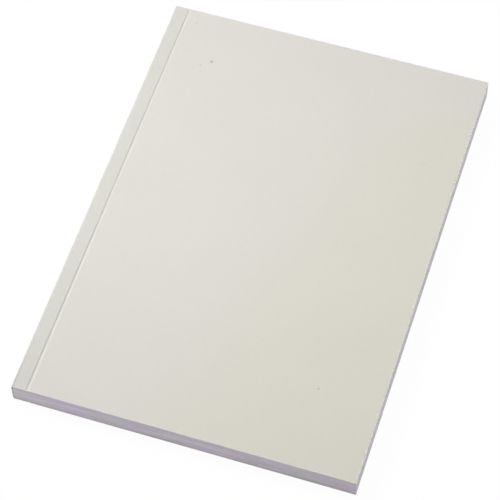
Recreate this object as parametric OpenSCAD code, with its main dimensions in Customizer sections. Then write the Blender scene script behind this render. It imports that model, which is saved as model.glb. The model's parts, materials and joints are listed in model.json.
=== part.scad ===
// Softcover notebook, perfect bound, closed and lying on its back cover.
//
// A block of loose leaves is glued into one sheet of card. The sheet is folded round the spine,
// and pressed with a crease on each side, along which the front and the back cover open.
// Frame: X runs from the spine to the fore edge, Y from the tail to the head, Z from the back
// cover to the front cover. The origin is the middle of the underside. Sizes are in millimetres.

/* [Trimmed book] */
// Width from the outside of the spine to the fore edge
book_w = 148; // [100:1:220]
// Height from the tail to the head
book_h = 210; // [140:1:300]

/* [Page block] */
// Number of leaves
leaf_count = 96; // [40:4:200]
// Thickness of one leaf
leaf_t = 0.095; // [0.07:0.005:0.15]
// Distance from one milled notch of the spine edge to the next
notch_pitch = 6; // [4:0.5:12]
// Width of a milled notch
notch_w = 0.8; // [0.4:0.1:2]
// Depth of a milled notch
notch_depth = 0.7; // [0.3:0.1:1.5]

/* [Cover card] */
// Thickness of the card
card_t = 0.35; // [0.2:0.05:0.6]
// Radius inside the two folds that take the card round the spine
fold_r = 0.65; // [0.3:0.05:0.65]

/* [Hinge creases] */
// Distance of each crease from the outside of the spine
crease_x = 6.7; // [5:0.1:12]
// Width of the groove that a crease leaves in the outer face of the card
crease_w = 1.6; // [1:0.1:2.2]
// Depth to which a crease is pressed
crease_depth = 0.26; // [0.1:0.02:0.3]
// Room between the ridge under a crease and the leaves that it has pressed down
crease_room = 0.1; // [0.05:0.01:0.2]

/* [Glue] */
// Thickness of the glue film between the spine edge of the leaves and the card
glue_t = 0.4; // [0.4:0.05:0.8]
// Thickness of the side glue on the first and the last leaf
side_glue_t = 0.1; // [0.05:0.01:0.15]
// Bare strip between the side glue and the ridge of the crease
side_glue_gap = 0.3; // [0.1:0.1:1]

/* [Hidden] */
$fn = 96;

card_colour = "#dedbd0";
paper_colour = "#e6e2ec";
glue_colour = "#e5dcc0";

// The cutting shapes run past what they cut by this much
past = 1;

block_t = leaf_count * leaf_t;
book_t = block_t + 2 * card_t;

// Both folds turn about a line this far in from the spine and from their cover
fold_x = fold_r + card_t;

// Where the spine edge of the leaves stands, and the heights between which it is full
block_x = card_t + glue_t;
edge_low = card_t + side_glue_t;
edge_high = book_t - edge_low;

// A crease is a round groove, and the card keeps its thickness below it
groove_r = (pow(crease_w / 2, 2) + pow(crease_depth, 2)) / (2 * crease_depth);
ridge_r = groove_r + card_t;
press_r = ridge_r + crease_room;
crease_rise = groove_r - crease_depth;

// The mark that a ridge presses into the leaves is this wide to each side of its crease
press_half_w = sqrt(pow(press_r, 2) - pow(crease_rise + card_t, 2));
side_glue_x = crease_x - press_half_w - side_glue_gap;

notch_count = floor(book_h / notch_pitch);

// Draws a section with X across the book and Y up, and runs it from the tail to the head
module along_spine() {
    translate([-book_w / 2, 0, 0])
        rotate([90, 0, 0])
            linear_extrude(book_h, center = true)
                children();
}

// Outline of the closed book, inset all round but at the far end, with its two rounded folds
module wrapped_outline(inset, end_x) {
    translate([fold_x, inset])
        square([end_x - fold_x, book_t - 2 * inset]);
    translate([inset, fold_x])
        square([end_x - inset, book_t - 2 * fold_x]);
    for (fold_z = [fold_x, book_t - fold_x])
        translate([fold_x, fold_z])
            circle(fold_x - inset);
}

// A round bar over the front crease and one under the back crease
module crease_bars(bar_r) {
    for (bar_z = [-crease_rise, book_t + crease_rise])
        translate([crease_x, bar_z])
            circle(bar_r);
}

// Section of the whole folded sheet, from the front fore edge round the spine to the back one
module cover_section() {
    difference() {
        wrapped_outline(0, book_w);
        difference() {
            wrapped_outline(card_t, book_w + past);
            crease_bars(ridge_r);
        }
        crease_bars(groove_r);
    }
}

// Part of the sheet beyond its crease, in the upper or the lower half of the book
module board_section(low_z) {
    intersection() {
        cover_section();
        translate([crease_x, low_z])
            square([book_w - crease_x, book_t / 2]);
    }
}

// What the cutter takes out of the spine edge, or with overlap the glue that fills it
module notches(overlap) {
    for (i = [0 : notch_count - 1])
        translate([
            block_x - overlap - book_w / 2,
            (i - (notch_count - 1) / 2) * notch_pitch - notch_w / 2,
            edge_low
        ])
            cube([notch_depth + overlap, notch_w, edge_high - edge_low]);
}

// Section of the leaves: pressed down under the side glue and under the ridges of the creases
module block_section() {
    difference() {
        translate([block_x, card_t])
            square([book_w - block_x, block_t]);
        for (strip_z = [edge_low - side_glue_t - past, edge_high])
            translate([block_x - past, strip_z])
                square([side_glue_x - block_x + past, side_glue_t + past]);
        crease_bars(press_r);
    }
}

// Section of the glue: the film on the spine edge and the side glue on the outer leaves
module glue_section() {
    difference() {
        wrapped_outline(card_t, side_glue_x);
        translate([block_x, edge_low])
            square([side_glue_x - block_x + past, edge_high - edge_low]);
    }
}

module page_block() {
    color(paper_colour)
        difference() {
            along_spine()
                block_section();
            notches(0);
        }
}

module spine_glue() {
    color(glue_colour)
        union() {
            along_spine()
                glue_section();
            notches(glue_t / 2);
        }
}

module spine_wrap() {
    color(card_colour)
        along_spine()
            intersection() {
                cover_section();
                square([crease_x, book_t]);
            }
}

module front_cover() {
    color(card_colour)
        along_spine()
            board_section(book_t / 2);
}

module back_cover() {
    color(card_colour)
        along_spine()
            board_section(0);
}

page_block();
spine_glue();
spine_wrap();
front_cover();
back_cover();
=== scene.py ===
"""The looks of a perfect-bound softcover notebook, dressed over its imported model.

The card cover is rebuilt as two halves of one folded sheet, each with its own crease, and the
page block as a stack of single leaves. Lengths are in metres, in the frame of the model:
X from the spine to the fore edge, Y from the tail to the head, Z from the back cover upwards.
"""

import json
import logging
import math
from dataclasses import dataclass
from enum import Enum

import bpy
import numpy as np
from bpy.types import Material, Mesh, Node, NodeOutputs, NodeTree, Object
from bpy.types import NodeSocket as Socket
from mathutils import Matrix, Vector

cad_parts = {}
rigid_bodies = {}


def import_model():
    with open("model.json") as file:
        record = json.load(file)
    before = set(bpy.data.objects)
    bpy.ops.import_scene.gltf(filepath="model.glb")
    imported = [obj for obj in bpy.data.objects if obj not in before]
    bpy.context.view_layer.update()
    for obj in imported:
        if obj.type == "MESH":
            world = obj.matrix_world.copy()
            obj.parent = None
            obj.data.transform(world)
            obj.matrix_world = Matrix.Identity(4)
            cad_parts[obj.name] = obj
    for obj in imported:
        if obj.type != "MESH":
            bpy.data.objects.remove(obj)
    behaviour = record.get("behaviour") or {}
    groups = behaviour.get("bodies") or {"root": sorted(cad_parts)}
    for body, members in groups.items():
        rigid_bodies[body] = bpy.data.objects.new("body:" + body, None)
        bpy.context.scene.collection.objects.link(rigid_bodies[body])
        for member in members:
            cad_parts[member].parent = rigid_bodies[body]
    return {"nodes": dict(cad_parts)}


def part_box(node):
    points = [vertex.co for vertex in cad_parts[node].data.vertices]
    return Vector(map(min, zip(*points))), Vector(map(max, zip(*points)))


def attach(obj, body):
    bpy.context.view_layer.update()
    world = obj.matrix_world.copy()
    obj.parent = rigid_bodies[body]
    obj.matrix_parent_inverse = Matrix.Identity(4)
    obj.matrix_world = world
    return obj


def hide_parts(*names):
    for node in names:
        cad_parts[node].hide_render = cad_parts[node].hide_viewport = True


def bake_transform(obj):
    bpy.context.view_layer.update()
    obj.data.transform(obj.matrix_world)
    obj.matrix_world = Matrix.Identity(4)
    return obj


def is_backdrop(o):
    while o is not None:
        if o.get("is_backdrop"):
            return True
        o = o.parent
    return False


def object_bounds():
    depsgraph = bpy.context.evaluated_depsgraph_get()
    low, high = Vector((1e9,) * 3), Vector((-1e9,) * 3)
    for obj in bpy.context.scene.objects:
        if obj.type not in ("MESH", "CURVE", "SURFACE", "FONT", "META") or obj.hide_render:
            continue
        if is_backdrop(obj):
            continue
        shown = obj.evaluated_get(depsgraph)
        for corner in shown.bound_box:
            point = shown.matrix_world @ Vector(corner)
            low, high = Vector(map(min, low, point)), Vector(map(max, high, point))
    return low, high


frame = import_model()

LOG = logging.getLogger("notebook")
MM = 0.001

# Attributes and the UV map that the finishes read
CUT_EDGE = "cut_edge"
GLUED = "glued"
# The fold's grey, and painted shade and highlight in the crease
FOLD_GREY_AND_PAINTED_CREASE_LIGHT = "fold_grey_and_painted_crease_light"
OUTSIDE = "outside"
LEAF_TONE = "leaf_tone"
SHEET_MAP = "sheet"

Colour = tuple[float, float, float, float]
Span = tuple[float, float]
Source = Socket | float | tuple[float, ...]
Faces = list[tuple[int, ...]]

WHITE: Colour = (1.0, 1.0, 1.0, 1.0)
# The values of a noise that count as its two ends, from the busiest look to the calmest
NOISE_MIDDLE: Span = (0.3, 0.7)
NOISE_MOST: Span = (0.25, 0.75)
NOISE_ALL: Span = (0.2, 0.8)


class Side(Enum):
    """The side of the book that a half of the cover lies on."""

    FRONT = "front"
    BACK = "back"


def srgb(red: int, green: int, blue: int) -> Colour:
    """Turns a colour as seen on screen into the linear one that a shader takes.

    Args:
        red: Red, from 0 to 255.
        green: Green, from 0 to 255.
        blue: Blue, from 0 to 255.

    Returns:
        The linear colour with an alpha of one.
    """
    linear = [
        v / 12.92 if v <= 0.04045 else ((v + 0.055) / 1.055) ** 2.4
        for v in (red / 255, green / 255, blue / 255)
    ]
    return (*linear, 1.0)


@dataclass(frozen=True)
class BookSizes:
    """Where the parts of the closed book lie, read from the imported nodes."""

    spine_x: float
    fore_x: float
    tail_y: float
    head_y: float
    top_z: float
    card: float
    crease_x: float
    leaf_x: float

    @classmethod
    def from_frame(cls) -> "BookSizes":
        """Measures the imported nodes.

        Returns:
            The sizes of the book at rest.
        """
        low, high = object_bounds()
        block_low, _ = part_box("page_block")
        _, wrap_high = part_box("spine_wrap")
        return cls(low.x, high.x, low.y, high.y, high.z, block_low.z, wrap_high.x, block_low.x)


class Graph:
    """Short calls for building one node tree."""

    def __init__(self, tree: NodeTree) -> None:
        """Takes over a tree and empties it."""
        self.tree = tree
        tree.nodes.clear()

    def add(self, kind: str, inputs: dict | None = None, **settings: object) -> Node:
        """Adds a node, sets it up and connects its inputs.

        Args:
            kind: Blender's name of the node type.
            inputs: Value or source socket for each input, by name or number.
            **settings: Properties of the node itself.

        Returns:
            The new node.
        """
        node = self.tree.nodes.new(kind)
        for name, value in settings.items():
            setattr(node, name, value)
        for key, value in (inputs or {}).items():
            if isinstance(value, Socket):
                self.tree.links.new(value, node.inputs[key])
            else:
                node.inputs[key].default_value = value
        return node

    def out(self, kind: str, inputs: dict | None = None, **settings: object) -> Socket:
        """Adds a node likewise and returns its first output."""
        return self.add(kind, inputs, **settings).outputs[0]

    def attribute(self, name: str) -> Socket:
        """Reads an attribute of the piece."""
        return self.add("ShaderNodeAttribute", attribute_name=name).outputs["Fac"]

    def objects(self) -> Socket:
        """Reads the object coordinates, in metres."""
        return self.add("ShaderNodeTexCoord").outputs["Object"]

    def scaled(self, place: Socket, scale: tuple[float, float, float]) -> Socket:
        """Stretches or squeezes coordinates along their axes."""
        return self.out("ShaderNodeMapping", {"Vector": place, "Scale": scale})

    def millimetres(self, place: Socket) -> Socket:
        """Turns coordinates in metres into ones in millimetres."""
        return self.scaled(place, (1 / MM,) * 3)

    def vector(self, x: Source = 0.0, y: Source = 0.0, z: Source = 0.0) -> Socket:
        """Puts three values together as a vector."""
        return self.out("ShaderNodeCombineXYZ", {0: x, 1: y, 2: z})

    def axes(self, place: Socket) -> NodeOutputs:
        """Takes a vector apart into its three values."""
        return self.add("ShaderNodeSeparateXYZ", {0: place}).outputs

    def noise(self, place: Socket, scale: float, detail: float) -> Socket:
        """Adds a noise that holds so many grains to a unit of length, from 0 to 1."""
        inputs = {"Vector": place, "Scale": scale, "Detail": detail}
        return self.out("ShaderNodeTexNoise", inputs)

    def drift(self, noise: Socket, ends: Span, reach: float, middle: float = 0.0) -> Socket:
        """Turns a noise, held between its ends, into a drift to both sides of a middle."""
        return self.spread(noise, ends, (middle - reach, middle + reach))

    def spread(self, value: Socket, source: Span, target: Span) -> Socket:
        """Maps one range of a value to another and holds it there."""
        inputs = {0: value, 1: source[0], 2: source[1], 3: target[0], 4: target[1]}
        return self.out("ShaderNodeMapRange", inputs, clamp=True)

    def math(self, operation: str, a: Source, b: Source = 0.0) -> Socket:
        """Adds a sum, product or the like of two values."""
        return self.out("ShaderNodeMath", {0: a, 1: b}, operation=operation)

    def vectors(self, operation: str, a: Source, b: Source = (0.0, 0.0, 0.0)) -> Socket:
        """Adds a sum, product, length or the like of one or two vectors."""
        node = self.add("ShaderNodeVectorMath", {0: a, 1: b}, operation=operation)
        return node.outputs["Value" if operation in ("DISTANCE", "LENGTH") else "Vector"]

    def tint(self, share: Source, first: Source, second: Source, blend: str = "MIX") -> Socket:
        """Mixes two colours, where the share is how much of the second one shows."""
        inputs = {0: share, 6: first, 7: second}
        return self.add("ShaderNodeMix", inputs, data_type="RGBA", blend_type=blend).outputs[2]

    def shade(self, tone: Socket, colour: Source) -> Socket:
        """Makes a colour lighter or darker by a factor near one."""
        return self.tint(1.0, self.vector(tone, tone, tone), colour, "MULTIPLY")


def new_material(name: str) -> tuple[Material, Graph]:
    """Makes a material with an empty node tree.

    Args:
        name: The material's name.

    Returns:
        The material, and the graph to build it in.
    """
    material = bpy.data.materials.new(name)
    material.use_nodes = True
    return material, Graph(material.node_tree)


@dataclass(frozen=True)
class Finish:
    """What the finishes share: how they shine, and a relief too fine to model."""

    roughness: float = 0.5
    specular: float = 0.5
    # Depth of the relief in metres, and how strongly it bends the light
    relief: float = 0.01 * MM
    relief_share: float = 0.5

    def close(self, graph: Graph, colour: Socket, height: Socket) -> None:
        """Ends a material's tree in its surface.

        Args:
            graph: The graph of the material.
            colour: The colour of the surface.
            height: The relief, as a share of its full depth.
        """
        bump_inputs = {"Strength": self.relief_share, "Distance": self.relief, "Height": height}
        inputs = {
            "Base Color": colour,
            "Roughness": self.roughness,
            "Specular IOR Level": self.specular,
            "Normal": graph.out("ShaderNodeBump", bump_inputs),
        }
        shader = graph.out("ShaderNodeBsdfPrincipled", inputs)
        graph.add("ShaderNodeOutputMaterial", {"Surface": shader})


@dataclass(frozen=True)
class Fleck:
    """A fleck in the card: its place and radius in millimetres, and how dark it is."""

    along: float
    up: float
    radius: float
    dark: float


@dataclass(frozen=True)
class CardFinish(Finish):
    """Uncoated ivory cover card: faint cloudy tone, short fibres and a few dark flecks."""

    roughness: float = 0.72
    specular: float = 0.3
    relief: float = 0.02 * MM
    relief_share: float = 0.4
    # How much higher the mottling stands than the fibres
    mottle_height: float = 1.5

    colour: Colour = srgb(223, 220, 213)
    # The core shown at the cut edges, which also paints a highlight on the rim beside them
    core_and_rim_highlight: Colour = srgb(229, 224, 223)
    # Painted highlight for the far wall of the crease
    painted_crease_highlight: Colour = srgb(246, 243, 235)
    fleck: Colour = srgb(150, 145, 138)
    # Yellowing toward the fore edge, grey along the fold and painted shade in the crease,
    # darkening over the glue
    yellowed: Colour = (0.99, 1.0, 0.94, 1.0)
    fold_grey_and_crease_shade: Colour = srgb(168, 168, 164)
    over_glue: Colour = (0.945, 0.962, 0.953, 1.0)

    # Width of the clouds, the mottling and the fibres in millimetres, the squeeze that draws the
    # fibres out along the height of the book, and how far each of the three shifts the tone
    cloud: float = 38.0
    mottle: float = 2.4
    fibre: float = 0.22
    fibre_squeeze: float = 0.45
    tone_shift: float = 0.008

    # Where the yellowing starts and is full, in millimetres from the middle of the spine, and
    # how much further out both lie for each millimetre up the sheet
    yellow: Span = (75.0, 120.0)
    yellow_slant: float = 0.25
    # Between these places up the sheet they move out by so much more, and they also waver
    fresh_head: Span = (60.0, 95.0)
    fresh_shift: float = 40.0
    yellow_waver: float = 8.0
    # The fold's grey and the crease's painted shade are fainter where the mottling is low: its
    # range, and how much of them shows
    grey_and_shade_mottle: Span = (0.35, 0.6)
    grey_and_shade_shown: Span = (0.6, 1.0)

    # One small fleck at most in a cell of this width in millimetres, and only in some cells
    fleck_cell: float = 17.0
    fleck_share: float = 0.3
    fleck_radius: float = 0.25
    fleck_dark: Span = (0.1, 0.8)
    # Share of its radius to which a fleck is solid, and how far the rim of a big one frays
    small_core: float = 0.4
    big_core: float = 0.35
    fray: float = 0.12
    # The bigger flecks, which lie on the front
    big_flecks: tuple[Fleck, ...] = (
        Fleck(30.5, 79.1, 0.90, 0.62),
        Fleck(26.2, 75.9, 0.50, 0.40),
        Fleck(17.0, 98.1, 0.62, 0.26),
        Fleck(27.4, 72.3, 0.45, 0.14),
        Fleck(125.5, -68.0, 0.70, 0.38),
        Fleck(137.0, 53.2, 0.80, 0.10),
        Fleck(111.6, 44.1, 0.65, 0.10),
    )

    def build(self) -> Material:
        """Builds the card's material, which follows the sheet's own map in metres.

        Returns:
            The material.
        """
        material, graph = new_material("cover_card")
        place = graph.millimetres(graph.out("ShaderNodeUVMap", uv_map=SHEET_MAP))
        grain = graph.scaled(place, (1.0, self.fibre_squeeze, 1.0))
        cloud = graph.noise(place, 1 / self.cloud, 1.0)
        mottle = graph.noise(place, 1 / self.mottle, 3.0)
        fibre = graph.noise(grain, 1 / self.fibre, 2.0)
        outside = graph.attribute(OUTSIDE)
        fold_grey_and_painted_crease_light = graph.attribute(FOLD_GREY_AND_PAINTED_CREASE_LIGHT)

        tone = graph.drift(cloud, NOISE_MIDDLE, self.tone_shift)
        tone = graph.math("ADD", tone, graph.drift(mottle, NOISE_MIDDLE, self.tone_shift, 1.0))
        tone = graph.math("ADD", tone, graph.drift(fibre, NOISE_MOST, self.tone_shift))

        fleck = graph.math("MULTIPLY", self.flecks(graph, place, fibre), outside)
        age = graph.math("MULTIPLY", self.yellowing(graph, place, cloud), outside)
        colour = graph.tint(fleck, self.colour, self.fleck)
        colour = graph.tint(age, colour, self.yellowed, "MULTIPLY")
        colour = graph.tint(graph.attribute(GLUED), colour, self.over_glue, "MULTIPLY")
        # The cut edges take the core's colour, and the rim beside them gets it as a painted
        # highlight
        colour = graph.tint(graph.attribute(CUT_EDGE), graph.shade(tone, colour), self.core_and_rim_highlight)
        # Grey along the fold and painted shade in the crease, fainter where the mottling is low
        shown = graph.spread(mottle, self.grey_and_shade_mottle, self.grey_and_shade_shown)
        colour = graph.tint(graph.math("MULTIPLY", fold_grey_and_painted_crease_light, shown), colour, self.fold_grey_and_crease_shade)
        # Below zero, the attribute stands for a painted highlight on the far wall of the crease
        pale = graph.spread(fold_grey_and_painted_crease_light, (-1.0, 0.0), (1.0, 0.0))
        colour = graph.tint(pale, colour, self.painted_crease_highlight)
        raised = graph.math("MULTIPLY", mottle, self.mottle_height)
        self.close(graph, colour, graph.math("ADD", fibre, raised))
        return material

    def flecks(self, graph: Graph, place: Socket, fibre: Socket) -> Socket:
        """Draws the small flecks, which lie at random, and the big ones, which don't.

        Args:
            graph: The graph to build in.
            place: The place on the sheet, in millimetres.
            fibre: The noise of the fibres, which frays the rims of the big flecks.

        Returns:
            How dark the card is, from 0 to 1.
        """
        cells_inputs = {"Vector": place, "Scale": 1 / self.fleck_cell}
        cells = graph.add("ShaderNodeTexVoronoi", cells_inputs).outputs
        reach = self.fleck_radius / self.fleck_cell
        spot = graph.spread(cells["Distance"], (self.small_core * reach, reach), (1.0, 0.0))
        draw = graph.add("ShaderNodeSeparateColor", {0: cells["Color"]}).outputs
        chosen = graph.math("LESS_THAN", draw[0], self.fleck_share)
        depth = graph.spread(draw[1], (0.0, 1.0), self.fleck_dark)
        dark = graph.math("MULTIPLY", graph.math("MULTIPLY", spot, chosen), depth)
        for big in self.big_flecks:
            apart = graph.vectors("DISTANCE", place, (big.along, big.up, 0.0))
            rim = graph.math("ADD", apart, graph.drift(fibre, NOISE_ALL, self.fray))
            solid_to_rim = (self.big_core * big.radius, big.radius)
            dark = graph.math("MAXIMUM", dark, graph.spread(rim, solid_to_rim, (big.dark, 0.0)))
        return dark

    def yellowing(self, graph: Graph, place: Socket, cloud: Socket) -> Socket:
        """Tells how far the card has yellowed, which is most in the lower outer corner.

        Args:
            graph: The graph to build in.
            place: The place on the sheet, in millimetres.
            cloud: The noise of the clouds, which makes the limits waver.

        Returns:
            How yellow the card is, from 0 to 1.
        """
        along, up, _ = graph.axes(place)
        aged = graph.math("ABSOLUTE", along)
        aged = graph.math("SUBTRACT", aged, graph.math("MULTIPLY", up, self.yellow_slant))
        fresh = graph.spread(up, self.fresh_head, (0.0, self.fresh_shift))
        aged = graph.math("SUBTRACT", aged, fresh)
        aged = graph.math("ADD", aged, graph.drift(cloud, NOISE_MIDDLE, self.yellow_waver))
        return graph.spread(aged, self.yellow, (0.0, 1.0))


@dataclass(frozen=True)
class LeafFinish(Finish):
    """White writing paper with a cool cast: smooth faces, and cut edges that vary leaf by leaf."""

    roughness: float = 0.85
    specular: float = 0.2
    relief: float = 0.012 * MM

    colour: Colour = srgb(236, 234, 240)
    # The cut edges drift between a lilac cast and a grey one, over this width in millimetres
    edge: Colour = srgb(235, 222, 242)
    edge_grey: Colour = srgb(229, 225, 232)
    cast: float = 16.0
    cast_ends: Span = (0.35, 0.65)
    # The fore edge has yellowed a little, and only its outermost part counts as that, in metres
    fore: Colour = srgb(232, 230, 228)
    fore_depth: float = 0.15 * MM
    # Painted shade on the leaves beside the boards, up to this depth, in metres
    painted_board_shade: Colour = (0.895, 0.905, 0.885, 1.0)
    board_depth: float = 2.2 * MM
    # The cut edges are paler at the spine than at the fore edge
    spine_to_fore: Span = (1.05, 0.925)
    # Streaks run along the cut edges and change every few leaves: how many to a millimetre
    # along the edges and through the thickness, and the tones between which they vary
    streaks: tuple[float, float, float] = (0.045, 0.045, 2.4)
    streak_tones: Span = (0.77, 1.22)
    # How far the tone shifts from leaf to leaf
    leaf_shift: float = 0.07
    # Width of the marks that the knife leaves in millimetres, and how far they shift the tone
    knife: float = 6.0
    knife_shift: float = 0.012
    # Width of the paper's fibres in millimetres, and how far they shift the tone of its faces
    fibre: float = 0.3
    fibre_shift: float = 0.01

    def build(self, sizes: BookSizes) -> Material:
        """Builds the paper's material, which follows object coordinates in metres.

        Args:
            sizes: The sizes of the book.

        Returns:
            The material.
        """
        material, graph = new_material("leaf_paper")
        objects = graph.objects()
        place = graph.millimetres(objects)
        fibre = graph.noise(place, 1 / self.fibre, 3.0)
        streak = graph.noise(graph.scaled(place, self.streaks), 1.0, 3.0)
        knife = graph.noise(place, 1 / self.knife, 2.0)
        cast = graph.spread(graph.noise(place, 1 / self.cast, 1.0), self.cast_ends, (0.0, 1.0))
        x, _, z = graph.axes(objects)

        tone = graph.spread(streak, NOISE_MOST, self.streak_tones)
        leaf = graph.drift(graph.attribute(LEAF_TONE), (0.0, 1.0), self.leaf_shift)
        tone = graph.math("ADD", tone, leaf)
        tone = graph.math("ADD", tone, graph.drift(knife, NOISE_MIDDLE, self.knife_shift))
        spine_to_fore_tone = graph.spread(x, (sizes.spine_x, sizes.fore_x), self.spine_to_fore)
        tone = graph.math("MULTIPLY", tone, spine_to_fore_tone)

        fore_from = sizes.fore_x - 2 * self.fore_depth
        fore = graph.spread(x, (fore_from, fore_from + self.fore_depth), (0.0, 1.0))
        low, high = sizes.card, sizes.top_z - sizes.card
        over_back = graph.spread(z, (low, low + self.board_depth), (1.0, 0.0))
        under_front = graph.spread(z, (high - self.board_depth, high), (0.0, 1.0))
        # Painted shade on the leaves next to the two boards
        beside = graph.math("MAXIMUM", over_back, under_front)
        rim = graph.tint(cast, self.edge, self.edge_grey)
        rim = graph.tint(fore, rim, self.fore)
        rim = graph.tint(beside, rim, self.painted_board_shade, "MULTIPLY")
        face = graph.shade(graph.drift(fibre, NOISE_ALL, self.fibre_shift, 1.0), self.colour)
        colour = graph.tint(graph.attribute(CUT_EDGE), face, graph.shade(tone, rim))
        self.close(graph, colour, fibre)
        return material


@dataclass(frozen=True)
class GlueFinish(Finish):
    """Hot-melt glue: waxy, with paler and darker clouds of a warm grey."""

    roughness: float = 0.42
    relief: float = 0.05 * MM

    colour: Colour = srgb(205, 203, 196)
    dark: Colour = srgb(177, 174, 166)
    # Width of the clouds in millimetres, and the noise values that count as their two ends
    cloud: float = 1.8
    cloud_ends: Span = (0.35, 0.7)

    def build(self) -> Material:
        """Builds the glue's material, which follows object coordinates in metres.

        Returns:
            The material.
        """
        material, graph = new_material("hot_melt")
        cloud = graph.noise(graph.millimetres(graph.objects()), 1 / self.cloud, 3.0)
        share = graph.spread(cloud, self.cloud_ends, (0.0, 1.0))
        self.close(graph, graph.tint(share, self.colour, self.dark), cloud)
        return material


def new_object(
    name: str, points: np.ndarray, faces: Faces, material: Material
) -> Object:
    """Makes a mesh object at the origin.

    Args:
        name: The piece's name.
        points: The vertices, one row each.
        faces: The vertices of each face.
        material: What it is made of.

    Returns:
        The object, linked to the scene.
    """
    mesh = bpy.data.meshes.new(name)
    mesh.from_pydata(points.tolist(), [], faces)
    mesh.validate()
    mesh.materials.append(material)
    obj = bpy.data.objects.new(name, mesh)
    bpy.context.scene.collection.objects.link(obj)
    return obj


def write_attribute(mesh: Mesh, name: str, domain: str, values: np.ndarray) -> None:
    """Writes one number for each point or face, for a finish to read."""
    attribute = mesh.attributes.new(name, "FLOAT", domain)
    attribute.data.foreach_set("value", values.astype(np.float32))


def there_and_back(values: np.ndarray) -> np.ndarray:
    """Repeats the values of a sheet's outer line for its inner one, which runs back."""
    return np.concatenate([values, values[::-1]])


def cosine_ridge(apart: np.ndarray) -> np.ndarray:
    """Height of a rounded ridge, one in its middle and zero at a distance of one and beyond."""
    return (1 + np.cos(np.pi * np.minimum(np.abs(apart), 1))) / 2


def report(obj: Object) -> None:
    """Logs a piece's name and size."""
    LOG.info("%s: %d vertices, %d faces", obj.name, len(obj.data.vertices), len(obj.data.polygons))


@dataclass(frozen=True)
class FoldGreyAndCreaseLight:
    """How grey the cover is along its fold, and the painted shade and highlight of its crease, in
    shares of one.
    """

    # The fold is a little grey all along, more so near the tail, and most at its very tip
    fold_grey: float = 0.1
    tail_grey: float = 0.7
    tail_reach: float = 24 * MM
    tail_curve: float = 1.3
    tip_grey: float = 0.7
    tip_reach: float = 2 * MM
    # How far over the fold the grey reaches, in radii of the fold
    fold_reach: float = 1.4
    # The grey comes in patches: how much of it shows, and their two wavelengths over 2 pi
    patch_mean: float = 0.75
    patch_swing: float = 0.25
    patch_lengths: Span = (5.3 * MM, 17 * MM)
    patch_start: float = 1.0
    # Painted shade on one wall of the crease and a painted highlight on the other, at the tail and
    # at the head
    crease_shade: Span = (0.32, 0.10)
    crease_highlight: Span = (0.54, 0.04)
    # Where the two lie, in distances from the middle of the crease to that of a wall
    shade_at: float = -0.9
    highlight_at: float = 1.25
    highlight_curve: float = 1.5
    # The crease's painted shade fades to this share toward both of its ends
    end_share: float = 0.45
    end_reach: float = 8 * MM

    def on_fold(self, across: np.ndarray, from_tail: float, y: float) -> np.ndarray:
        """How grey the fold is.

        Args:
            across: Distances from the spine, in radii of the fold.
            from_tail: The distance from the tail.
            y: The place along the book.

        Returns:
            The greying at each place.
        """
        low = 1 - min(from_tail / self.tail_reach, 1.0)
        tip = max(1 - from_tail / self.tip_reach, 0.0)
        strength = self.fold_grey + self.tail_grey * low**self.tail_curve + self.tip_grey * tip
        short, long = self.patch_lengths
        swing = math.sin(y / short) * math.sin(y / long + self.patch_start)
        patches = self.patch_mean + self.patch_swing * swing
        return (1 - np.clip(across / self.fold_reach, 0, 1) ** 2) * strength * patches

    def in_crease(
        self, across: np.ndarray, reach: float, from_tail: float, from_head: float
    ) -> np.ndarray:
        """How much painted shade and painted highlight the two walls of the crease get.

        Args:
            across: Distances from the middle of the crease, in those to the middle of a wall.
            reach: Half the width of the crease, counted likewise.
            from_tail: The distance from the tail.
            from_head: The distance from the head.

        Returns:
            The painted shade at each place, or below zero the painted highlight there.
        """
        along = from_tail / (from_tail + from_head)
        ends = min(from_tail / self.end_reach, from_head / self.end_reach, 1.0)
        # Painted shade on the near wall of the crease
        at_tail, at_head = self.crease_shade
        grey = at_tail + (at_head - at_tail) * along**2
        grey *= self.end_share + (1 - self.end_share) * ends
        # Painted highlight on the far wall of the crease
        at_tail, at_head = self.crease_highlight
        pale = at_tail + (at_head - at_tail) * min(2 * along, 1.0)
        near = np.clip(1 - np.abs(across - self.shade_at), 0, 1)
        far = np.clip(1 - np.abs(across - self.highlight_at) / reach, 0, 1) ** self.highlight_curve
        return grey * near - pale * far


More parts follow.
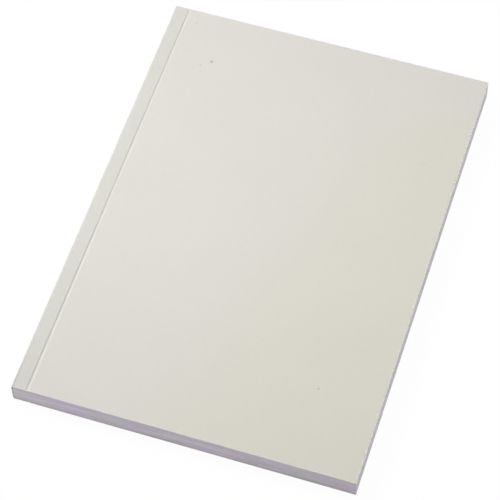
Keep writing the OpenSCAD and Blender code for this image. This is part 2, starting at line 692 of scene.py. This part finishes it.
@dataclass
class CoverSheet:
    """The folded and creased card, as the half from the middle of the spine to a fore edge."""

    sizes: BookSizes
    side: Side
    finish: Material
    # Outer radius of the fold round the spine
    fold: float = 1.0 * MM
    # The pressed crease: its depth, its flat bottom and its lips, as half widths, and how far
    # its middle lies off the line about which the board turns
    crease_depth: float = 0.26 * MM
    crease_floor: float = 0.26 * MM
    crease_reach: float = 0.72 * MM
    crease_shift: float = 0.20 * MM
    # Half width of the ridge that it raises on the inner face
    ridge_reach: float = 1.15 * MM
    # How far the hinge strip slopes down to the crease, and the power by which it does
    strip_dip: float = 0.05 * MM
    strip_curve: float = 1.5
    # Over what width the board rises again, and a margin beside it that keeps its shading flat
    lip_reach: float = 1.6 * MM
    lip_margin: float = 0.3 * MM
    # Rounding that the knife leaves at the cut edges, and the width of the rim beside them that
    # gets a painted highlight
    knife_round: float = 0.06 * MM
    highlight_rim: float = 0.7 * MM
    # How far the board sinks between its slow waves, and how far beyond the crease these start
    # and are full
    wave: float = 0.05 * MM
    wave_from: float = 2 * MM
    wave_at: float = 22 * MM
    # The two waves: their lengths over 2 pi across and along the book, and where they start
    waves: tuple[tuple[float, float, float], ...] = (
        (21 * MM, 47 * MM, 0.7),
        (-63 * MM, 29 * MM, 0.0),
    )
    # Width over which the tint of the glue ends at the crease
    glue_fade: float = 0.3 * MM
    fold_grey_and_crease_light: FoldGreyAndCreaseLight = FoldGreyAndCreaseLight()
    # Faces that meet at more than this angle show an edge, in degrees
    crisp_angle: float = 40.0
    spine_steps: int = 6
    fold_steps: int = 14
    strip_steps: int = 8
    crease_steps: int = 46
    board_steps: int = 36
    round_steps: int = 4
    length_steps: int = 60

    def dip(self, x: np.ndarray) -> np.ndarray:
        """How far the sheet slopes down to the crease, apart from the crease itself.

        Args:
            x: Places across the book.

        Returns:
            The dip at each place.
        """
        strip_start = self.sizes.spine_x + self.fold
        slope = np.clip((x - strip_start) / (self.sizes.crease_x - strip_start), 0, 1)
        rise = np.clip(1 - (x - self.sizes.crease_x) / self.lip_reach, 0, 1)
        share = np.where(x < self.sizes.crease_x, slope**self.strip_curve, rise**2)
        return self.strip_dip * share

    def outer_z(self, x: np.ndarray) -> np.ndarray:
        """Height of the outer face, with the crease as a channel with a flat bottom.

        Args:
            x: Places across the book.

        Returns:
            The height at each place.
        """
        apart = np.abs(x - self.sizes.crease_x - self.crease_shift)
        wall = np.clip((self.crease_reach - apart) / (self.crease_reach - self.crease_floor), 0, 1)
        groove = wall * wall * (3 - 2 * wall)
        return self.sizes.top_z - self.dip(x) - self.crease_depth * groove

    def inner_z(self, x: np.ndarray) -> np.ndarray:
        """Height of the inner face, where the crease shows as a rounded ridge."""
        ridge = cosine_ridge((x - self.sizes.crease_x) / self.ridge_reach)
        return self.sizes.top_z - self.sizes.card - self.dip(x) - self.crease_depth * ridge

    def section(self) -> tuple[np.ndarray, np.ndarray, np.ndarray, np.ndarray]:
        """The half sheet in section, from the middle of the spine to the fore edge.

        Returns:
            The outer line, the inner line, the outward directions, and how much of each point's
            thickness the rounding of the fore edge takes away on each face.
        """
        s = self.sizes
        fold_x, fold_z = s.spine_x + self.fold, s.top_z - self.fold
        spine_z = np.linspace(s.top_z / 2, fold_z, self.spine_steps)[:-1]
        turn = np.linspace(math.pi, math.pi / 2, self.fold_steps)
        spine_out = np.column_stack([np.full(len(spine_z), -1.0), np.zeros(len(spine_z))])
        fold_out = np.column_stack([np.cos(turn), np.sin(turn)])
        spine = np.column_stack([np.full(len(spine_z), s.spine_x), spine_z])
        fold = np.array([fold_x, fold_z]) + self.fold * fold_out

        crease_from, crease_to = s.crease_x - self.ridge_reach, s.crease_x + self.lip_reach
        last = s.fore_x - self.knife_round
        round_turn = np.linspace(0, math.pi / 2, self.round_steps)[1:]
        across = np.concatenate([
            np.linspace(fold_x, crease_from, self.strip_steps)[1:-1],
            np.linspace(crease_from, crease_to, self.crease_steps),
            np.linspace(crease_to + self.lip_margin, s.fore_x - self.highlight_rim, self.board_steps),
            [last],
            last + self.knife_round * np.sin(round_turn),
        ])
        flat_out = np.column_stack([np.zeros(len(across)), np.ones(len(across))])
        outward = np.vstack([spine_out, fold_out, flat_out])
        bent = np.vstack([spine, fold])
        outer = np.vstack([bent, np.column_stack([across, self.outer_z(across)])])
        inner_bent = bent - s.card * outward[: len(bent)]
        inner = np.vstack([inner_bent, np.column_stack([across, self.inner_z(across)])])
        cut = np.zeros(len(outer))
        cut[-len(round_turn) :] = self.knife_round * (1 - np.cos(round_turn))
        return outer, inner, outward, cut

    def stations(self) -> tuple[np.ndarray, np.ndarray]:
        """Where the sections stand along the book, close together at the rounded cut edges.

        Returns:
            The places, and how much the rounding takes away on each face there.
        """
        s = self.sizes
        turn = np.linspace(0, math.pi / 2, self.round_steps)
        ends = self.knife_round * (1 - np.sin(turn))[::-1]
        cut = self.knife_round * (1 - np.cos(turn))[::-1]
        first, last = s.tail_y + self.highlight_rim, s.head_y - self.highlight_rim
        between = np.linspace(first, last, self.length_steps)
        places = np.concatenate([s.tail_y + ends, between, s.head_y - ends[::-1]])
        cuts = np.concatenate([cut, np.zeros(len(between)), cut[::-1]])
        return places, cuts

    def rim(self, x: np.ndarray, y: float) -> np.ndarray:
        """How strong the painted highlight is on the card beside its trimmed edges.

        Args:
            x: Places across the book.
            y: The place along it.

        Returns:
            One at an edge, falling to zero at the inner side of the rim.
        """
        s = self.sizes
        from_edge = np.minimum(s.fore_x - x, min(y - s.tail_y, s.head_y - y))
        return np.clip(1 - from_edge / self.highlight_rim, 0, 1)

    def build(self) -> Object:
        """Builds the half sheet as one closed mesh with its crease, and dresses it.

        Returns:
            The finished piece.
        """
        s = self.sizes
        outer, inner, outward, cut = self.section()
        across = outer[:, 0]
        steps = np.linalg.norm(np.diff(outer, axis=0), axis=1)
        length = np.concatenate([[0], np.cumsum(steps)])
        glued = np.clip(0.5 - (across - s.crease_x) / self.glue_fade, 0, 1)
        inside = np.zeros(len(outer))
        rings, maps = [], []
        marks = {CUT_EDGE: [], GLUED: [], FOLD_GREY_AND_PAINTED_CREASE_LIGHT: [], OUTSIDE: []}
        for y, trimmed in zip(*self.stations(), strict=True):
            taken = np.maximum(cut, trimmed)
            inset = outward * taken[:, None]
            ring = np.vstack([outer - inset, (inner + inset)[::-1]])
            ring[:, 1] -= there_and_back(self.board_wave(across, y))
            at = np.full(len(ring), y)
            rings.append(np.column_stack([ring[:, 0], at, ring[:, 1]]))
            maps.append(np.column_stack([there_and_back(length), at]))
            # The cut edges, and a painted highlight on the rim beside them
            edge = np.maximum(taken / self.knife_round, self.rim(across, y))
            marks[CUT_EDGE].append(there_and_back(edge))
            marks[GLUED].append(there_and_back(glued))
            # Grey along the fold and painted shade and highlight in the crease, on the outer face
            # only
            marks[FOLD_GREY_AND_PAINTED_CREASE_LIGHT].append(np.concatenate([self.grey_and_painted_crease_light(across, y), inside]))
            marks[OUTSIDE].append(np.concatenate([inside + 1, inside]))
        points, uv = np.vstack(rings), np.vstack(maps)

        faces = self.faces(len(rings), len(outer))
        if self.side is Side.BACK:
            points[:, 2] = s.top_z - points[:, 2]
            uv[:, 0] *= -1
        else:
            faces = [face[::-1] for face in faces]

        obj = new_object(f"{self.side.value}_half_of_cover", points, faces, self.finish)
        self.shade(obj.data)
        layer = obj.data.uv_layers.new(name=SHEET_MAP)
        corners = np.array([loop.vertex_index for loop in obj.data.loops])
        layer.uv.foreach_set("vector", uv[corners].astype(np.float32).ravel())
        for name, values in marks.items():
            write_attribute(obj.data, name, "POINT", np.concatenate(values))
        self.join_to_bodies(obj)
        report(obj)
        return obj

    def grey_and_painted_crease_light(self, x: np.ndarray, y: float) -> np.ndarray:
        """How grey the fold round the spine is, and the crease's painted shade and highlight, most
        near the tail.

        Args:
            x: Places across the book.
            y: The place along it.

        Returns:
            The fold's grey and the crease's painted shade at each place, or below zero the painted
            highlight there.
        """
        s = self.sizes
        from_tail, from_head = y - s.tail_y, s.head_y - y
        wall = (self.crease_reach + self.crease_floor) / 2
        across = (x - s.crease_x - self.crease_shift) / wall
        crease = self.fold_grey_and_crease_light.in_crease(across, self.crease_reach / wall, from_tail, from_head)
        return self.fold_grey_and_crease_light.on_fold((x - s.spine_x) / self.fold, from_tail, y) + crease

    def board_wave(self, x: np.ndarray, y: float) -> np.ndarray:
        """How far the front board sinks in its slow waves; the back one lies flat on the table.

        Args:
            x: Places across the book.
            y: The place along it.

        Returns:
            The sink at each place.
        """
        if self.side is Side.BACK:
            return np.zeros(len(x))
        beyond = x - self.sizes.crease_x - self.wave_from
        fade = np.clip(beyond / (self.wave_at - self.wave_from), 0, 1)
        count = len(self.waves)
        swell = sum(np.sin(x / across + y / along + start) for across, along, start in self.waves)
        return self.wave * fade * (count + swell) / (2 * count)

    @staticmethod
    def faces(ring_count: int, line_count: int) -> Faces:
        """The faces of a closed bar whose rings run out along a line and back.

        Args:
            ring_count: How many rings it has.
            line_count: How many points the line has.

        Returns:
            The vertices of each face.
        """
        size = 2 * line_count
        made = []
        for k in range(ring_count - 1):
            for j in range(size):
                following = (j + 1) % size
                low, high = k * size, (k + 1) * size
                made.append((low + j, low + following, high + following, high + j))
        for base, turned in ((0, False), ((ring_count - 1) * size, True)):
            for j in range(line_count - 1):
                face = (base + j, base + size - 1 - j, base + size - 2 - j, base + j + 1)
                made.append(face[::-1] if turned else face)
        return made

    def shade(self, mesh: Mesh) -> None:
        """Shades the folds and the crease smoothly and keeps the cut edges crisp."""
        mesh.polygons.foreach_set("use_smooth", np.ones(len(mesh.polygons), bool))
        mesh.set_sharp_from_angle(angle=math.radians(self.crisp_angle))

    def join_to_bodies(self, obj: Object) -> None:
        """Bakes the half sheet's placement into its mesh and hides the imported board and spine
        wrap.

        Args:
            obj: The half sheet.
        """
        board = f"{self.side.value}_cover"
        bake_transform(obj)
        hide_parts(board, "spine_wrap")


@dataclass
class PageBlock:
    """The leaves, each a sheet of its own with its milled notches, stacked and pressed."""

    sizes: BookSizes
    finish: Material
    leaf_count: int = 96
    # Share of a leaf's pitch that is paper; the rest is air
    paper_share: float = 0.93
    # Air between a board and the outer leaves
    ease: float = 0.08 * MM
    # The milled notches, a little wider and deeper than the glue that fills them
    notch_count: int = 35
    notch_pitch: float = 6 * MM
    notch_width: float = 0.84 * MM
    notch_depth: float = 0.72 * MM
    # How far a leaf may lie off its neighbours, how far the whole edge swings, and how much of
    # a swing lies between two leaves
    jitter: float = 0.012 * MM
    swing: float = 0.035 * MM
    swing_step: float = 0.08
    # Depth of the mark that the crease leaves in the outer leaf, and how deep it reaches
    mark_depth: float = 0.34 * MM
    mark_half_width: float = 1.25 * MM
    mark_reach: float = 3.6 * MM
    # How many columns of points bend with the mark, and how far apart the others stand
    mark_columns: int = 11
    column_step: float = 9 * MM
    seed: int = 7

    def columns(self) -> list[float]:
        """Where a leaf has points across its width, close together at the crease.

        Returns:
            The places, from the milled edge to the fore edge.
        """
        s = self.sizes
        half = self.mark_half_width
        near = np.linspace(-half, half, self.mark_columns) + s.crease_x
        fore = s.fore_x - self.jitter - self.swing
        count = round((fore - near[-1]) / self.column_step)
        far = np.linspace(near[-1], fore, count + 1)[1:]
        return [s.leaf_x + self.notch_depth, *near.tolist(), *far.tolist()]

    def leaf(self, thickness: float) -> Object:
        """One flat leaf with the notches of its spine edge, as a closed sheet about z = 0.

        Args:
            thickness: The leaf's thickness.

        Returns:
            The leaf, as an object with the stack's name.
        """
        s = self.sizes
        tail = s.tail_y + self.jitter + self.swing
        head = s.head_y - self.jitter - self.swing
        middles = (np.arange(self.notch_count) - (self.notch_count - 1) / 2) * self.notch_pitch
        walls = sorted([*(middles - self.notch_width / 2), *(middles + self.notch_width / 2)])
        ys = [tail, *walls, head]
        root_x, *across = self.columns()
        flat = [(s.leaf_x, y) for y in ys] + [(root_x, y) for y in ys]
        row = len(ys)
        faces = [(i, row + i, row + i + 1, i + 1) for i in range(0, row, 2)]
        first = len(flat)
        flat += [(x, y) for x in across for y in (tail, head)]
        faces.append((*range(row, 2 * row), first + 1, first)[::-1])
        for i in range(len(across) - 1):
            at = first + 2 * i
            faces.append((at, at + 2, at + 3, at + 1))
        return self.slab("page_leaves", flat, faces, thickness)

    def slab(
        self, name: str, flat: list[tuple[float, float]], faces: Faces, thickness: float
    ) -> Object:
        """A flat sheet with a thickness, whose cut sides are marked for the finish.

        Args:
            name: The piece's name.
            flat: The points of the sheet.
            faces: Its faces, each turning left.
            thickness: The distance between its two faces.

        Returns:
            The closed sheet.
        """
        size = len(flat)
        levels = [(x, y, z) for z in (-thickness / 2, thickness / 2) for x, y in flat]
        made = [tuple(size + i for i in face) for face in faces]
        made += [face[::-1] for face in faces]
        edges = {(a, b) for face in faces for a, b in zip(face, face[1:] + face[:1], strict=True)}
        rim = sorted((a, b) for a, b in edges if (b, a) not in edges)
        made += [(a, b, size + b, size + a) for a, b in rim]
        obj = new_object(name, np.array(levels), made, self.finish)
        marks = np.zeros(len(obj.data.polygons))
        marks[2 * len(faces) :] = 1
        write_attribute(obj.data, CUT_EDGE, "FACE", marks)
        return obj

    @staticmethod
    def stacking_tree() -> NodeTree:
        """Builds the Geometry Nodes that turn one leaf into the stack.

        Returns:
            The tree, whose inputs are the leaf, how the stack is laid out, a seed and the paper.
        """
        tree = bpy.data.node_groups.new("stack_of_leaves", "GeometryNodeTree")
        kinds = {"Leaf": "Geometry", "Count": "Int", "Seed": "Int", "Paper": "Material"}
        kinds |= dict.fromkeys(("Base", "Pitch", "Jitter", "Swing", "Swing Step"), "Float")
        for name, kind in kinds.items():
            tree.interface.new_socket(name, in_out="INPUT", socket_type=f"NodeSocket{kind}")
        tree.interface.new_socket("Stack", in_out="OUTPUT", socket_type="NodeSocketGeometry")
        graph = Graph(tree)
        given = graph.add("NodeGroupInput").outputs
        line_inputs = {
            "Count": given["Count"],
            "Start Location": graph.vector(z=given["Base"]),
            "Offset": graph.vector(z=given["Pitch"]),
        }
        line = graph.out("GeometryNodeMeshLine", line_inputs, mode="OFFSET")
        stack_inputs = {"Points": line, "Instance": given["Leaf"]}
        stack = graph.out("GeometryNodeInstanceOnPoints", stack_inputs)

        least = graph.math("MULTIPLY", given["Jitter"], -1.0)
        low = graph.vector(least, least)
        high = graph.vector(given["Jitter"], given["Jitter"])
        loose_inputs = {0: low, 1: high, "Seed": given["Seed"]}
        loose = graph.out("FunctionNodeRandomValue", loose_inputs, data_type="FLOAT_VECTOR")
        number = graph.out("GeometryNodeInputIndex")
        swing_inputs = {
            "W": graph.math("MULTIPLY", number, given["Swing Step"]),
            "Scale": 1.0,
            "Detail": 2.0,
        }
        swing = graph.add("ShaderNodeTexNoise", swing_inputs, noise_dimensions="1D").outputs[1]
        centred = graph.vectors("SUBTRACT", swing, (0.5, 0.5, 0.5))
        reach = graph.math("MULTIPLY", given["Swing"], 2.0)
        swung = graph.vectors("MULTIPLY", centred, graph.vector(reach, reach))
        shift = graph.vectors("ADD", swung, loose)
        moved_inputs = {"Instances": stack, "Translation": shift}
        moved = graph.out("GeometryNodeTranslateInstances", moved_inputs)

        tone_inputs = {2: 0.0, 3: 1.0, "Seed": graph.math("ADD", given["Seed"], 1.0)}
        tone = graph.add("FunctionNodeRandomValue", tone_inputs, data_type="FLOAT").outputs[1]
        toned = graph.out(
            "GeometryNodeStoreNamedAttribute",
            {"Geometry": moved, "Name": LEAF_TONE, "Value": tone},
            data_type="FLOAT",
            domain="INSTANCE",
        )
        real = graph.out("GeometryNodeRealizeInstances", {0: toned})
        dressed_inputs = {"Geometry": real, "Material": given["Paper"]}
        dressed = graph.out("GeometryNodeSetMaterial", dressed_inputs)
        graph.add("NodeGroupOutput", {0: dressed})
        return tree

    def press(self, mesh: Mesh) -> None:
        """Presses the outer leaves down under the ridges of the two creases.

        Args:
            mesh: The realised stack.
        """
        s = self.sizes
        places = np.empty(len(mesh.vertices) * 3)
        mesh.vertices.foreach_get("co", places)
        places = places.reshape(-1, 3)
        ridge = cosine_ridge((places[:, 0] - s.crease_x) / self.mark_half_width)
        for outer_z, way in ((s.top_z - s.card, -1), (s.card, 1)):
            depth = np.abs(outer_z - places[:, 2])
            fade = np.clip(1 - depth / self.mark_reach, 0, 1)
            places[:, 2] += way * self.mark_depth * ridge * fade
        mesh.vertices.foreach_set("co", places.ravel())
        mesh.update()

    def build(self) -> Object:
        """Builds the stack, presses it and dresses it.

        Returns:
            The finished piece.
        """
        s = self.sizes
        room = s.top_z - 2 * (s.card + self.ease)
        pitch = room / self.leaf_count
        obj = self.leaf(pitch * self.paper_share)
        tree = self.stacking_tree()
        modifier = obj.modifiers.new("stack", "NODES")
        modifier.node_group = tree
        values = {
            "Count": self.leaf_count,
            "Base": s.card + self.ease + pitch / 2,
            "Pitch": pitch,
            "Jitter": self.jitter,
            "Swing": self.swing,
            "Swing Step": self.swing_step,
            "Seed": self.seed,
            "Paper": self.finish,
        }
        for item in tree.interface.items_tree:
            if item.in_out == "INPUT" and item.name in values:
                modifier[item.identifier] = values[item.name]
        bpy.context.view_layer.update()
        evaluated = obj.evaluated_get(bpy.context.evaluated_depsgraph_get())
        mesh = bpy.data.meshes.new_from_object(evaluated)
        obj.modifiers.remove(modifier)
        obj.data = mesh
        self.press(mesh)
        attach(obj, "block")
        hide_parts("page_block")
        report(obj)
        return obj


@dataclass(frozen=True)
class Softbox:
    """A square lamp that hangs over the table and points at the book."""

    name: str
    place: tuple[float, float, float]
    aim: tuple[float, float, float]
    size: float
    power: float
    spread: float = 180.0

    def build(self) -> None:
        """Hangs the lamp."""
        lamp = bpy.data.lights.new(self.name, "AREA")
        lamp.shape = "SQUARE"
        lamp.size = self.size
        lamp.energy = self.power
        lamp.spread = math.radians(self.spread)
        holder = bpy.data.objects.new(self.name, lamp)
        bpy.context.scene.collection.objects.link(holder)
        holder.location = self.place
        toward = Vector(self.aim) - Vector(self.place)
        holder.rotation_euler = toward.to_track_quat("-Z", "Y").to_euler()


# The main light stands on the spine's side, and a weaker one evens it out from behind
KEY = Softbox(
    name="key_softbox",
    place=(-0.45, 0.055, 0.45),
    aim=(-0.04, 0.01, 0.0),
    size=0.3,
    power=0.262,
    spread=60.0,
)
FILL = Softbox(
    name="fill_softbox", place=(0.365, 0.365, 0.97), aim=(0.0, 0.0, 0.0), size=0.8, power=3.14
)


@dataclass(frozen=True)
class Studio:
    """A pale floor, soft light from the spine's side and from behind, and the camera."""

    # Half the width of the floor, which lies this far below the book and is open under it up
    # to this far from its edges
    floor_half: float = 3.0
    floor_drop: float = 0.05 * MM
    floor_rim: float = 0.5 * MM
    floor_colour: Colour = (0.8, 0.8, 0.8, 1.0)
    # What the camera sees of the floor: its own white, and the light that keeps the shadow
    floor_glow: float = 0.95
    floor_shown: float = 0.055
    # Distance from the book at which the floor has turned to plain white
    white_from: float = 0.3
    white_at: float = 0.9
    # Strength of the even light from all round
    sky: float = 0.46
    # The camera: where it looks on the front cover, from where and with which lens
    aim: tuple[float, float, float] = (-0.669 * MM, -11.997 * MM, 9.82 * MM)
    azimuth: float = 18.744
    elevation: float = 57.217
    roll: float = -1.073
    distance: float = 0.94723
    lens: float = 159.84
    sensor: float = 36.0
    clip: Span = (0.01, 20.0)

    def build(self, sizes: BookSizes) -> None:
        """Sets up the floor, the light and the camera.

        Args:
            sizes: The sizes of the book.
        """
        self.build_floor(sizes)
        self.build_sky()
        KEY.build()
        FILL.build()
        self.build_camera()

    @staticmethod
    def close(graph: Graph, lighting: Socket, shown: Socket, output: str) -> None:
        """Ends a tree in one shader for the rays that light and one for those that show.

        Args:
            graph: The graph to build in.
            lighting: The shader that lights the book.
            shown: The shader for camera, glossy and transmission rays.
            output: Blender's name of the output node.
        """
        rays = graph.add("ShaderNodeLightPath").outputs
        seen = graph.math("MAXIMUM", rays["Is Camera Ray"], rays["Is Glossy Ray"])
        seen = graph.math("MAXIMUM", seen, rays["Is Transmission Ray"])
        mixed = graph.out("ShaderNodeMixShader", {0: seen, 1: lighting, 2: shown})
        graph.add(output, {"Surface": mixed})

    def build_floor(self, sizes: BookSizes) -> None:
        """Makes the floor: pale to the light, white to the eye but for the book's shadow.

        Args:
            sizes: The sizes of the book, under which the floor is open to views from below.
        """
        material, graph = new_material("studio_floor")
        away = graph.vectors("LENGTH", graph.objects())
        near = graph.spread(away, (self.white_from, self.white_at), (1.0, 0.0))
        shown = graph.math("MULTIPLY", near, self.floor_shown)
        glow = graph.spread(near, (0.0, 1.0), (1.0, self.floor_glow))
        plain = graph.out("ShaderNodeBsdfDiffuse", {"Color": self.floor_colour})
        grey = graph.out("ShaderNodeCombineColor", {0: shown, 1: shown, 2: shown})
        catcher = graph.out("ShaderNodeBsdfDiffuse", {"Color": grey})
        light = graph.out("ShaderNodeEmission", {"Strength": glow})
        seen = graph.out("ShaderNodeAddShader", {0: catcher, 1: light})
        self.close(graph, plain, seen, "ShaderNodeOutputMaterial")
        half, rim = self.floor_half, self.floor_rim
        low_x, high_x = sizes.spine_x + rim, sizes.fore_x - rim
        low_y, high_y = sizes.tail_y + rim, sizes.head_y - rim
        outside = [(-half, -half), (half, -half), (half, half), (-half, half)]
        inside = [(low_x, low_y), (high_x, low_y), (high_x, high_y), (low_x, high_y)]
        corners = np.array([(x, y, -self.floor_drop) for x, y in outside + inside])
        sides = [(i, (i + 1) % 4, 4 + (i + 1) % 4, 4 + i) for i in range(4)]
        new_object("studio_floor", corners, sides, material)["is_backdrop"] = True

    def build_sky(self) -> None:
        """Makes the even light from all round, which the camera sees as white."""
        world = bpy.data.worlds.new("studio_sky")
        bpy.context.scene.world = world
        world.use_nodes = True
        graph = Graph(world.node_tree)
        light, white = (
            graph.out("ShaderNodeBackground", {"Color": WHITE, "Strength": strength})
            for strength in (self.sky, 1.0)
        )
        self.close(graph, light, white, "ShaderNodeOutputWorld")

    def build_camera(self) -> None:
        """Sets up the camera at the picture's angle."""
        data = bpy.data.cameras.new("camera")
        data.lens = self.lens
        data.sensor_width = self.sensor
        data.clip_start, data.clip_end = self.clip
        camera = bpy.data.objects.new("camera", data)
        bpy.context.scene.collection.objects.link(camera)
        turn, lift = math.radians(self.azimuth), math.radians(self.elevation)
        flat = math.cos(lift)
        back = Vector((math.sin(turn) * flat, -math.cos(turn) * flat, math.sin(lift)))
        level = (-back).to_track_quat("-Z", "Y").to_matrix()
        rolled = level @ Matrix.Rotation(math.radians(self.roll), 3, "Z")
        place = Vector(self.aim) + back * self.distance
        camera.matrix_world = Matrix.Translation(place) @ rolled.to_4x4()
        bpy.context.scene.camera = camera


def main() -> None:
    """Builds the whole scene."""
    logging.basicConfig(level=logging.INFO, format="%(name)s: %(message)s")
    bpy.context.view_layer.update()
    sizes = BookSizes.from_frame()
    bpy.context.scene.view_settings.view_transform = "Standard"
    Studio().build(sizes)
    card = CardFinish().build()
    for side in Side:
        CoverSheet(sizes, side, card).build()
    PageBlock(sizes, LeafFinish().build(sizes)).build()
    glue = frame["nodes"]["spine_glue"]
    glue.data.materials.clear()
    glue.data.materials.append(GlueFinish().build())
    LOG.info("spine_glue keeps its packed shape")


if __name__ == "__main__":
    main()
